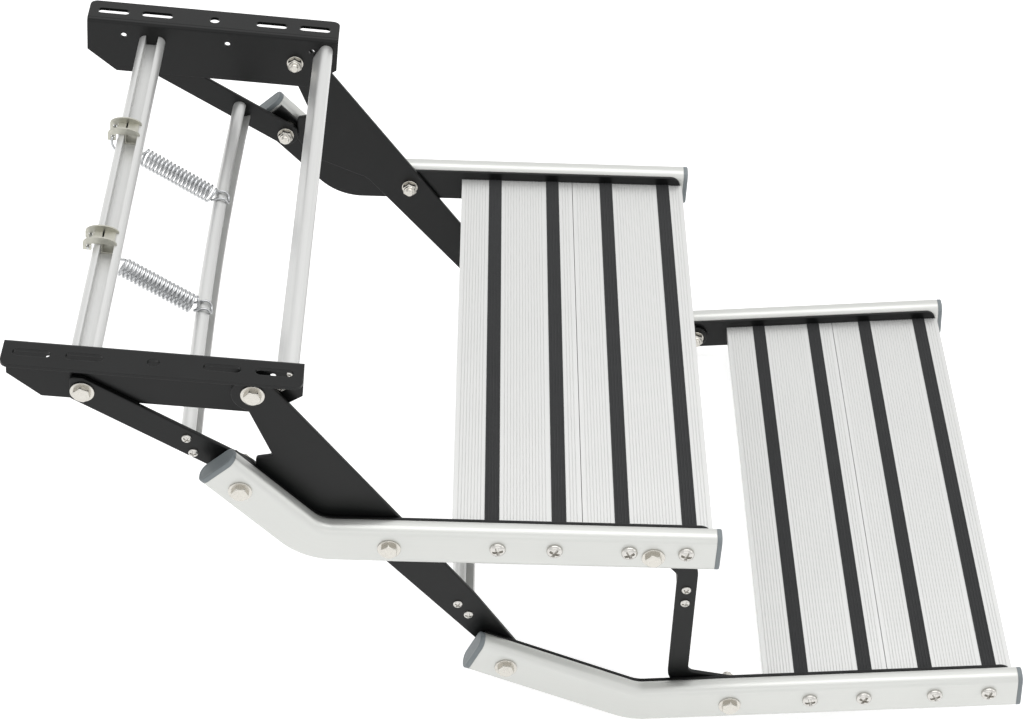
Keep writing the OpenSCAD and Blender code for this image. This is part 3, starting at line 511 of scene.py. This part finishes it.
def rail_line(step):
    """Centre line of a rail as (distance, u, w, turn) rows: straight, an arc, straight."""
    bend, radius = step["bend"], RAIL_BEND
    cut = radius * math.tan(math.radians(bend / 2))
    rows = [(step["front"] - s, 0.0, 0.0) for s in np.linspace(0, step["front"] - cut, 12)[:-1]]
    for a in np.linspace(0, bend, 28):
        r = math.radians(a)
        rows.append((cut - radius * math.sin(r), radius * (1 - math.cos(r)), a))
    back = turn([-1, 0], -bend)
    for s in np.linspace(cut, step["rear"], 8)[1:]:
        rows.append((back[0] * s, back[1] * s, bend))
    rows = np.array(rows)
    gone = np.concatenate([[0], np.cumsum(np.hypot(*np.diff(rows[:, :2], axis=0).T))])
    return np.column_stack([gone, rows])


def to_frame(step, u, w):
    """(u along the tread, w up) in a step's own frame to (x, z)."""
    a = math.radians(step["pitch"])
    return (step["vertex"][0] + u * math.cos(a) - w * math.sin(a),
            step["vertex"][1] + u * math.sin(a) + w * math.cos(a))


def section_at(step, side, row, shrink, shift):
    """The section, set in by shrink, across one row of a rail's line and moved forward along it
    by shift: its own outline, and its points in the frame."""
    outline = section(shrink)
    a = math.radians(row[3])
    u = row[1] + math.sin(a) * outline[:, 1] + math.cos(a) * shift
    w = row[2] + math.cos(a) * outline[:, 1] - math.sin(a) * shift
    x, z = to_frame(step, u, w)
    return outline, np.stack([x, side * (RAIL_MID + outline[:, 0]), z], axis=-1)


def rail_shell(step, side):
    """The section carried along the rail's centre line, with its rims rounded by 0.5 mm."""
    line = rail_line(step)
    rim = 0.5
    stack, uv = [], []

    def ring(row, shrink, shift):
        outline, points = section_at(step, side, row, shrink, shift)
        lengths = np.hypot(*np.diff(outline, axis=0, append=outline[:1]).T)
        round_it = np.concatenate([[0], np.cumsum(lengths)[:-1]])
        stack.append(points)
        uv.append(np.stack([np.full(len(points), (row[0] - shift) * MM), round_it * MM],
                           axis=-1))

    rounding = [(0.0, rim), (0.07, rim * 0.5), (0.2, rim * 0.13), (rim, 0.0)]
    for inwards, shrink in rounding:
        ring(line[0], shrink, -inwards)
    for row in line[1:-1]:
        ring(row, 0.0, 0.0)
    for inwards, shrink in rounding[::-1]:
        ring(line[-1], shrink, inwards)
    return *rings(stack), np.concatenate(uv)


def cap_shell(step, side, rear):
    """End cap of a rail: the section shrunk towards its middle while it moves outwards,
    with a 1 mm rolled rim, a shallow land and a slightly domed field."""
    line = rail_line(step)
    row, way = (line[-1], -1) if rear else (line[0], 1)
    t = CAP_THICK
    levels = [(-6.0, 2.2), (0.0, 2.2), (0.0, 0.15), (0.1, 0.0), (t - 1.0, 0.0), (t - 0.5, 0.25),
              (t - 0.15, 0.7), (t, 1.3), (t, 2.4), (t - 0.2, 2.8), (t - 0.2, 3.6), (t - 0.05, 5.5),
              (t, 7.0)]
    return rings([section_at(step, side, row, shrink, way * out)[1] for out, shrink in levels])


for step, body, word in STEPS:
    for side, hand in HANDS:
        make(f"{word}_rail_{hand}_skin", [rail_shell(step, side)], rail_metal, body,
             [f"{word}_rail_{hand}"], sharp=60)
    for rear, end in ((False, "front"), (True, "rear")):
        make(f"{word}_{end}_cap_faces", both(lambda s: [cap_shell(step, s, rear)]), cap_plastic,
             body, [f"{word}_{end}_caps"], sharp=50)


# Flat bars with rounded rims
def tighter_bend(step, x, z):
    """Moves points of a bent band from the frame's bend radius to the rail's: a point at angle a
    and distance r from the old arc's centre goes to the same angle and r - R_old + R_new. Its
    front end, the last 25 mm, reaches 3.5 mm further."""
    a = -math.radians(step["pitch"])
    x, z = x - step["vertex"][0], z - step["vertex"][1]
    u, w = x * math.cos(a) - z * math.sin(a), x * math.sin(a) + z * math.cos(a)
    half = math.tan(math.radians(step["bend"] / 2))
    angle = np.arctan2(CAD_BEND * half - u, CAD_BEND - w)
    r = np.hypot(CAD_BEND * half - u, CAD_BEND - w) - CAD_BEND + RAIL_BEND
    inside = (angle > -1e-3) & (angle < math.radians(step["bend"]) + 1e-3)
    u = np.where(inside, RAIL_BEND * half - r * np.sin(angle), u)
    w = np.where(inside, RAIL_BEND - r * np.cos(angle), w)
    u = u + 3.5 * (u > step["front"] - 25)
    return np.stack(to_frame(step, u, w), axis=-1)


def deeper_heel(x, z):
    """Moves points of the main arm's outline near two corners, its stop heel and its waist: by a
    share 1 - (d / reach)^2 of a shift."""
    waist = P2 + turn([0.41 * np.hypot(*ARM_LINE), -24.0], ARM_TURN)
    p = np.stack([x, z], axis=-1)
    for corner, shift, reach in ((P3 + [29, -21], np.array([-3.0, -6.0]), 20.0),
                                 (waist, turn([5.0, -3.5], ARM_TURN), 30.0)):
        share = np.clip(1 - ((p - corner) ** 2).sum(axis=-1) / reach ** 2, 0, 1)
        p = p + share[:, None] * shift
    return p


def outline_loops(flat):
    """The edges that only one of some triangles has, as loops of point numbers."""
    edges = np.concatenate([flat[:, [0, 1]], flat[:, [1, 2]], flat[:, [2, 0]]])
    known = {(int(a), int(b)) for a, b in edges}
    after = {a: b for a, b in known if (b, a) not in known}
    loops = []
    while after:
        loop, here = [], next(iter(after))
        while here in after:
            loop.append(here)
            here = after.pop(here)
        loops.append(np.array(loop))
    return loops


def rimmed_bar(node, radius, grow, move, rounds=4):
    """A flat bar of the frame again, with rounded rims. Its flat end outline at the highest Y is
    set in by r(1-cos t) while Y rises by r sin t, at both faces; the flats keep the bar's own
    triangles, one support ring further in. The outline may grow, and move may shift its points
    first."""
    co, tri = frame_mesh(node)
    _, first, same = np.unique(np.round(co * 2000).astype(np.int64), axis=0,
                               return_index=True, return_inverse=True)
    pts, tri = co[first], same.ravel()[tri]
    if move:
        pts[:, [0, 2]] = move(pts[:, 0], pts[:, 2])
    high, low = pts[:, 1].max(), pts[:, 1].min()
    flat = tri[(np.abs(pts[tri][:, :, 1] - high) < 0.01).all(axis=1)]
    flat = flat[(flat != np.roll(flat, 1, axis=1)).all(axis=1)]
    rim = [(radius * (1 - math.cos(t)), radius * (1 - math.sin(t)))
           for t in np.linspace(0, np.pi / 2, rounds + 1)]
    support = 0.35 + radius
    levels = [(support, low)] + [(inset, low + drop) for inset, drop in rim[::-1]]
    levels += [(inset, high - drop) for inset, drop in rim] + [(support, high)]
    points, faces, start = [], [], 0
    top, bottom = {}, {}
    for loop in outline_loops(flat):
        p = pts[loop][:, [0, 2]]
        ahead = np.roll(p, -1, axis=0) - p
        ahead /= np.maximum(np.hypot(*ahead.T), 1e-9)[:, None]
        inward = np.stack([ahead[:, 1], -ahead[:, 0]], axis=-1)
        before = np.roll(inward, 1, axis=0)
        spread = np.maximum(1 + (inward * before).sum(axis=1), 0.35)
        mitre = (inward + before) / spread[:, None]
        n = len(loop)
        for d, y in levels:
            q = p + mitre * (d - grow)
            points.append(np.stack([q[:, 0], np.full(n, y), q[:, 1]], axis=-1))
        m = len(levels)
        i, k = np.meshgrid(np.arange(m - 1), np.arange(n), indexing="ij")
        a, b = start + i * n + k, start + i * n + (k + 1) % n
        faces += np.stack([a, b, b + n, a + n], axis=-1).reshape(-1, 4).tolist()
        for k, v in enumerate(loop):
            bottom[int(v)] = start + k
            top[int(v)] = start + (m - 1) * n + k
        start += m * n
    for table, y in ((bottom, low), (top, high)):
        for v in np.unique(flat):
            if int(v) not in table:
                table[int(v)] = start
                points.append(np.array([[pts[v][0], y, pts[v][2]]]))
                start += 1
    faces += [[top[int(v)] for v in f] for f in flat]
    faces += [[bottom[int(v)] for v in f[::-1]] for f in flat]
    return np.concatenate(points), faces


# For each bar: its body, its rim, how much it is wider all round than the frame's, and how its
# outline differs from the frame's
BARS = {
    "main_arm": ("main_arm", 0.9, 0.0, deeper_heel),
    "rear_link": ("rear_link", 0.9, 0.0, None),
    "front_link": ("front_link", 0.8, 1.1, None),
    "upper_inner_plate": ("upper_step", 0.5, 1.0, lambda x, z: tighter_bend(UPPER, x, z)),
    "lower_inner_plate": ("lower_step", 0.5, 1.0, lambda x, z: tighter_bend(LOWER, x, z)),
}
for bar, (body, rim, grow, move) in BARS.items():
    for _, hand in HANDS:
        make(f"{bar}_{hand}_coated", [rimmed_bar(f"{bar}_{hand}", rim, grow, move)], black, body,
             [f"{bar}_{hand}"], sharp=28)


# Tread planks
def narrower(node, step, middle, gap=0.5):
    """A plank of the frame, drawn towards its own middle u by the share gap / width, so that the
    joint between two planks shows as a fine line."""
    points, triangles = frame_mesh(node)
    a = math.radians(step["pitch"])
    along = np.array([math.cos(a), 0.0, math.sin(a)])
    x, z = to_frame(step, middle, 0.0)
    off = (points - [x, 0.0, z]) @ along
    return points - np.outer(off * gap / PLANK, along), triangles.tolist()


for step, body, word in STEPS:
    for k, place in ((0.5, "rear"), (1.5, "front")):
        plank = f"{word}_plank_{place}"
        make(f"{plank}_extrusion", [narrower(plank, step, step["start"] + k * PLANK)],
             tread_metal, body, [plank])


# Pivot bolts, nuts, washers
def dressed(word, kind, body, build):
    """The pivot bolts, nuts or washers of one body, as one piece."""
    make(f"{word}_{kind}_dressed", both(build), bolt_metal, body, [f"{word}_pivot_{kind}"])


SEAT, ARM_SEAT = RAIL_OUT + WASHER_T, ARM_IN - CLEAR
BASE_NUT, ARM_NUT = BASE_IN - WASHER_T, ARM_SEAT - WASHER_T
# The spacer at the opened pivot P3 is parted just outside the screw heads of the rear link
STOP_SPLIT = LINK_OUT + 3.3
dressed("base", "bolts", "base",
        lambda s: bolt(P1, s, LINK_OUT + CLEAR + WASHER_T, BASE_IN - TIP, 0.2)
        + bolt(P2, s, ARM_OUT + CLEAR + WASHER_T, BASE_IN - TIP, 0.4))
dressed("base", "nuts", "base",
        lambda s: lock_nut(P1, s, BASE_NUT, 0.3) + lock_nut(P2, s, BASE_NUT, 0.1))
dressed("base", "washers", "base",
        lambda s: [ring_washer(P1, s, LINK_OUT + CLEAR), ring_washer(P2, s, ARM_OUT + CLEAR)]
        + [ring_washer(p, s, BASE_NUT, NUT_WASHER) for p in (P1, P2)])
dressed("upper", "bolts", "upper_step",
        lambda s: bolt(P3, s, SEAT, STOP_SPLIT + CLEAR, 0.5)
        + bolt(P4, s, SEAT, ARM_SEAT - TIP, 0.15) + bolt(P5, s, SEAT, ARM_SEAT - TIP, 0.35))
dressed("upper", "nuts", "upper_step",
        lambda s: lock_nut(P4, s, ARM_NUT, 0.2) + lock_nut(P5, s, ARM_NUT, 0.07))
dressed("upper", "washers", "upper_step",
        lambda s: [ring_washer(p, s, RAIL_OUT) for p in (P3, P4, P5)]
        + [ring_washer(p, s, ARM_NUT, NUT_WASHER) for p in (P4, P5)])
dressed("lower", "bolts", "lower_step",
        lambda s: bolt(P6, s, SEAT, ARM_SEAT - TIP, 0.45)
        + bolt(P7, s, SEAT, ARM_OUT + CLEAR, 0.05))
dressed("lower", "nuts", "lower_step", lambda s: lock_nut(P6, s, ARM_NUT, 0.3))
dressed("lower", "washers", "lower_step",
        lambda s: [ring_washer(p, s, RAIL_OUT) for p in (P6, P7)]
        + [ring_washer(P6, s, ARM_NUT, NUT_WASHER)])

# The link's half of each parted bolt, at P3 with the inner half of the spacer
make("rear_link_nuts_dressed",
     both(lambda s: bolt_end(P3, s, LINK_OUT, LINK_IN, 0.4)
          + [turned([(0.0, LINK_OUT), (10.0, LINK_OUT), (10.0, STOP_SPLIT), (0.0, STOP_SPLIT)],
                    P3, s)]),
     bolt_metal, "rear_link", ["rear_link_nuts"])
make("front_link_nuts_dressed", both(lambda s: bolt_end(P7, s, ARM_OUT, ARM_IN, 0.25)),
     bolt_metal, "front_link", ["front_link_nuts"])


# Tread and tube screws
def tread_screws(step, side):
    """Screws into the two ports of each plank, 3 mm above the rail's centre line."""
    shells = []
    for i, (k, port) in enumerate((k, port) for k in (0, 1) for port in (39.5, 88.0)):
        at = to_frame(step, step["start"] + k * PLANK + port, 3.0)
        shells += pan_head(at, side, RAIL_OUT, 14.0, 4.6, 4.8, RAIL_OUT - 49.0, 0.3 + 0.9 * i)
    return shells


for step, body, word in STEPS:
    make(f"{word}_tread_screws_dressed", both(lambda s: tread_screws(step, s)), screw_metal,
         body, [f"{word}_plank_screws"], sharp=40)


def tube_screws(centre, degrees, seat, apart=16.5):
    """Both screws at both ends of a cross tube, apart along its wide side."""
    return both(lambda s: [shell for i in (-1, 1) for shell in pan_head(
        centre + turn([i * apart / 2, 0], degrees), s, seat, 8.6, 2.5, 4.0, seat - 20.0,
        0.5 + i)])


for word, body, shells in (
        ("base_tube", "base", tube_screws(REAR_TUBE, 0, BASE_OUT)
         + tube_screws(FRONT_BASE_TUBE, FRONT_BASE_TURN, BASE_OUT)),
        ("rear_link", "rear_link", tube_screws(LINK_TUBE, LINK_TUBE_TURN, LINK_OUT)),
        ("arm_tube", "main_arm", tube_screws(ARM_TUBE, ARM_TURN, ARM_OUT)),
        ("front_link", "front_link", tube_screws(FRONT_TUBE, lean(LEG), ARM_OUT))):
    make(f"{word}_screws_dressed", shells, screw_metal, body, [f"{word}_screws"], sharp=40)


# The springs pull the tube of the rear links into a slight bow
WIRE, COIL_D, COILS, PER_TURN = 2.3, 18.0, 18, 28
COIL_FROM = np.array([-47.2, -43.5])
COIL_TO = LINK_TUBE + [-14.5, 15.5]
PULL = (COIL_FROM - COIL_TO) / np.hypot(*(COIL_FROM - COIL_TO))
SPRING_Y = 81.0


def bow(y, most=5.0):
    """How far the tube is pulled at a distance y from the middle: most cos(pi y / length)."""
    return np.outer(most * np.cos(np.pi * np.asarray(y) / (2 * LINK_IN)), PULL)


def bowed_tube():
    """Slotted tube section, 25 by 13 mm with an 11.7 by 10 mm slot, carried along the bow."""
    r, reach, slot, floor = TUBE_R, TUBE_HALF - TUBE_R, 5.85, -3.5
    a = np.linspace(np.pi / 2, -np.pi / 2, 16)
    round_end = r * np.stack([np.cos(a), np.sin(a)], axis=-1)
    outline = np.concatenate([[[slot, r]], round_end + [reach, 0], -round_end - [reach, 0],
                              [[-slot, r], [-slot, floor], [slot, floor]]])
    y = np.linspace(-LINK_IN, LINK_IN, 41)
    place = LINK_TUBE + bow(y)[:, None] + turn(outline.T, LINK_TUBE_TURN).T
    return carried(place[..., 0], place[..., 1], y)


make("rear_link_tube_bowed", [bowed_tube()], tube_metal, "rear_link", ["rear_link_tube"],
     sharp=40)


# Springs
def smooth(points, n=6):
    """Catmull-Rom curve through the points, in n steps each."""
    p = np.array(points, float)
    p = np.concatenate([p[:1] * 2 - p[1:2], p, p[-1:] * 2 - p[-2:-1]])
    out = []
    for i in range(1, len(p) - 2):
        s = np.linspace(0, 1, n, endpoint=False)[:, None]
        out.append(0.5 * (2 * p[i] + (p[i + 1] - p[i - 1]) * s
                          + (2 * p[i - 1] - 5 * p[i] + 4 * p[i + 1] - p[i + 2]) * s ** 2
                          + (3 * p[i] - p[i - 1] - 3 * p[i + 1] + p[i + 2]) * s ** 3))
    return np.concatenate(out + [p[-2:-1]])


def spring_line():
    """Centre line of one spring about Y = 0: cross leg, lead, helix r(cos, sin), double hook."""
    leg = np.array([-74.7, -17.1])
    r = (COIL_D - WIRE) / 2
    tube = LINK_TUBE + bow(SPRING_Y)[0]
    start, end = COIL_FROM, COIL_TO
    along = (end - start) / np.hypot(*(end - start))
    up = np.array([-along[1], along[0]])
    wide, face = turn([1, 0], LINK_TUBE_TURN), turn([0, 1], LINK_TUBE_TURN)
    # Just off the tube's slotted face, and just off its top edge
    off_face = face * (TUBE_R + WIRE / 2 + 0.1)
    top = tube - wide * (TUBE_HALF + WIRE / 2 + 0.1)

    def at(p, y):
        return [p[0], y, p[1]]

    lead = [at(leg, 12), at(leg, 6), at(leg, 0), at(leg, -6), at(leg, -10.2),
            at(leg + [-0.5, -1.8], -12), at(leg + [0.5, -8], -11.8),
            at(leg + [5, -13.5], -10.5), at(start - along * 7 + up * 2, -4)]
    t = np.linspace(0, 1, COILS * PER_TURN + 1)
    a = 2 * np.pi * t * COILS - np.pi / 2
    mid = start[None] + np.outer(t, end - start) - np.outer(r * np.sin(a), up)
    helix = np.stack([mid[:, 0], r * np.cos(a), mid[:, 1]], axis=-1)
    tail = [at(end + along * 4 + up * 2, 3.5), at(top - face * 5, 5.5), at(top + face * 3, 5.5),
            at(top + wide * 2 + face * 6.6, 5.5),
            at(tube - wide * 8.5 + off_face, 5.3), at(tube - wide * 6 + off_face, 4),
            at(tube - wide * 5 + off_face, 0),
            at(tube - wide * 6 + off_face, -4), at(tube - wide * 8.5 + off_face, -5.3),
            at(top + wide * 2 + face * 6.6, -5.5), at(top + face * 3, -5.5),
            at(top - face * 6, -5.5)]
    front = smooth(lead + [helix[0], helix[4]])[:-6]
    back = smooth([helix[-5], helix[-1]] + tail)[6:]
    return np.concatenate([front, helix[1:-1], back]), up


def wire_shell(side, sides=12):
    """Round wire: a ring of points stands across the spring line at each of its points."""
    line, up = spring_line()
    gap = np.concatenate([[1.0], np.linalg.norm(np.diff(line, axis=0), axis=1)])
    line = line[gap > 0.05]
    tangent = np.gradient(line, axis=0)
    tangent /= np.linalg.norm(tangent, axis=1)[:, None]
    first = np.cross(tangent, np.array([up[0], 0.25, up[1]]))
    first /= np.linalg.norm(first, axis=1)[:, None]
    second = np.cross(first, tangent)
    a = np.linspace(0, 2 * np.pi, sides, endpoint=False)[None, :, None]
    ring = first[:, None] * np.cos(a) + second[:, None] * np.sin(a)
    stack = line[:, None] + WIRE / 2 * ring
    stack = stack + np.array([0, SPRING_Y, 0])
    stack[..., 1] *= side
    return rings(stack)


for side, hand in HANDS:
    wire = make(f"spring_{hand}_wire", [wire_shell(side)], wire_metal, None, [f"spring_{hand}"],
                sharp=70)
    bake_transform(wire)


def clip_web(side, t=1.5):
    """Web between the two cheeks of a spring clip: a strip of sheet over the tube's slot, with
    a rounded rear edge."""
    rear, front = REAR_TUBE[0] - 12.3, REAR_TUBE[0] + 5.6
    low = REAR_TUBE[1] + TUBE_R + 0.3
    a = np.linspace(np.pi / 2, 3 * np.pi / 2, 9)
    nose = np.stack([rear + t / 2 * np.cos(a), low + t / 2 + t / 2 * np.sin(a)], axis=-1)
    x, z = np.concatenate([nose, [[front, low], [front, low + t]]]).T
    return carried(x, z, side * (SPRING_Y + np.array([-7.6, 7.6])))


make("spring_clip_webs", both(lambda s: [clip_web(s)]), clip_metal, "base", None)


# Grip inserts
def grip(step, u0, width=12.8, ridges=5):
    """One rubber insert, an outline in (u, w) carried along the tread: a row of ridges 0.4 mm
    high on top, and a narrower foot that sits in the plank's pocket."""
    foot, low, brim, groove, crest = 5.6, 6.9, 8.05, 8.4, 8.8
    half, each = width / 2, width / (2 * ridges - 1)
    u, w = [u0 - foot, u0 - foot, u0 - half], [low, brim, brim]
    for i in range(2 * ridges - 1):
        high = crest if i % 2 == 0 else groove
        left = u0 - half + i * each
        u += [left, left + 0.15, left + each - 0.15, left + each]
        w += [high - 0.1, high, high, high - 0.1]
    u += [u0 + half, u0 + foot, u0 + foot]
    w += [brim, brim, low]
    return carried(*to_frame(step, np.array(u), np.array(w)), [-249.9, 249.9])


for step, body, word in STEPS:
    middles = [step["start"] + (k + share) * PLANK for k in (0, 1) for share in (0.305, 0.82)]
    make(f"{word}_grips_ridged", [grip(step, u0) for u0 in middles], rubber, body,
         [f"{word}_grip_inserts"])


# Studio, in metres
def floor_and_light():
    """Pale floor under the lowest rail, a white surround and three broad soft lamps."""
    low, half = cad_box[0][2] - 0.001, 30.0
    mesh = bpy.data.meshes.new("studio_floor")
    mesh.from_pydata([(-half, -half, low), (half, -half, low), (half, half, low),
                      (-half, half, low)], [], [(0, 1, 2, 3)])
    ground = bpy.data.objects.new("studio_floor", mesh)
    bpy.context.scene.collection.objects.link(ground)
    material, tree, shader = blank("pale_studio_floor")
    shader.inputs["Base Color"].default_value = linear("#f2f2f2")
    shader.inputs["Roughness"].default_value = 0.9
    glow = add(tree, "ShaderNodeEmission", {"Color": (1, 1, 1, 1), "Strength": 0.6})
    both_ways = add(tree, "ShaderNodeAddShader", {0: shader.outputs[0], 1: glow.outputs[0]})
    path = add(tree, "ShaderNodeLightPath")
    plain = add(tree, "ShaderNodeMixShader", {0: path.outputs["Is Diffuse Ray"],
                                              1: both_ways.outputs[0], 2: shader.outputs[0]})
    tree.links.new(plain.outputs[0], tree.nodes["Material Output"].inputs["Surface"])
    mesh.materials.append(material)

    # The white surround is seen at full strength but lights the pieces at half
    world = bpy.data.worlds.new("studio")
    bpy.context.scene.world = world
    world.use_nodes = True
    tree = world.node_tree
    path = add(tree, "ShaderNodeLightPath")
    seen = path.outputs["Is Camera Ray"]
    for kind in ("Glossy", "Transmission"):
        seen = add(tree, "ShaderNodeMath", {0: seen, 1: path.outputs[f"Is {kind} Ray"]},
                   operation="MAXIMUM").outputs[0]
    power = add(tree, "ShaderNodeMapRange", {"Value": seen, "To Min": 0.5, "To Max": 1.0})
    tree.links.new(power.outputs["Result"], tree.nodes["Background"].inputs["Strength"])
    tree.nodes["Background"].inputs["Color"].default_value = (1, 1, 1, 1)

    middle = Vector((0.3, 0, -0.2))
    for name, place, size, watts in (
            ("overhead_softbox", (0.3, 0.2, 2.2), (3.2, 1.6), 28),
            ("front_softbox", (0.2, -2.4, 0.9), (2.2, 1.2), 4.5),
            ("side_softbox", (2.6, -0.6, 1.0), (1.4, 1.4), 5)):
        data = bpy.data.lights.new(name, "AREA")
        data.shape = "RECTANGLE"
        data.size, data.size_y = size
        data.energy = watts
        light = bpy.data.objects.new(name, data)
        bpy.context.scene.collection.objects.link(light)
        light.location = place
        light.rotation_euler = (middle - Vector(place)).to_track_quat("-Z", "Y").to_euler()


floor_and_light()
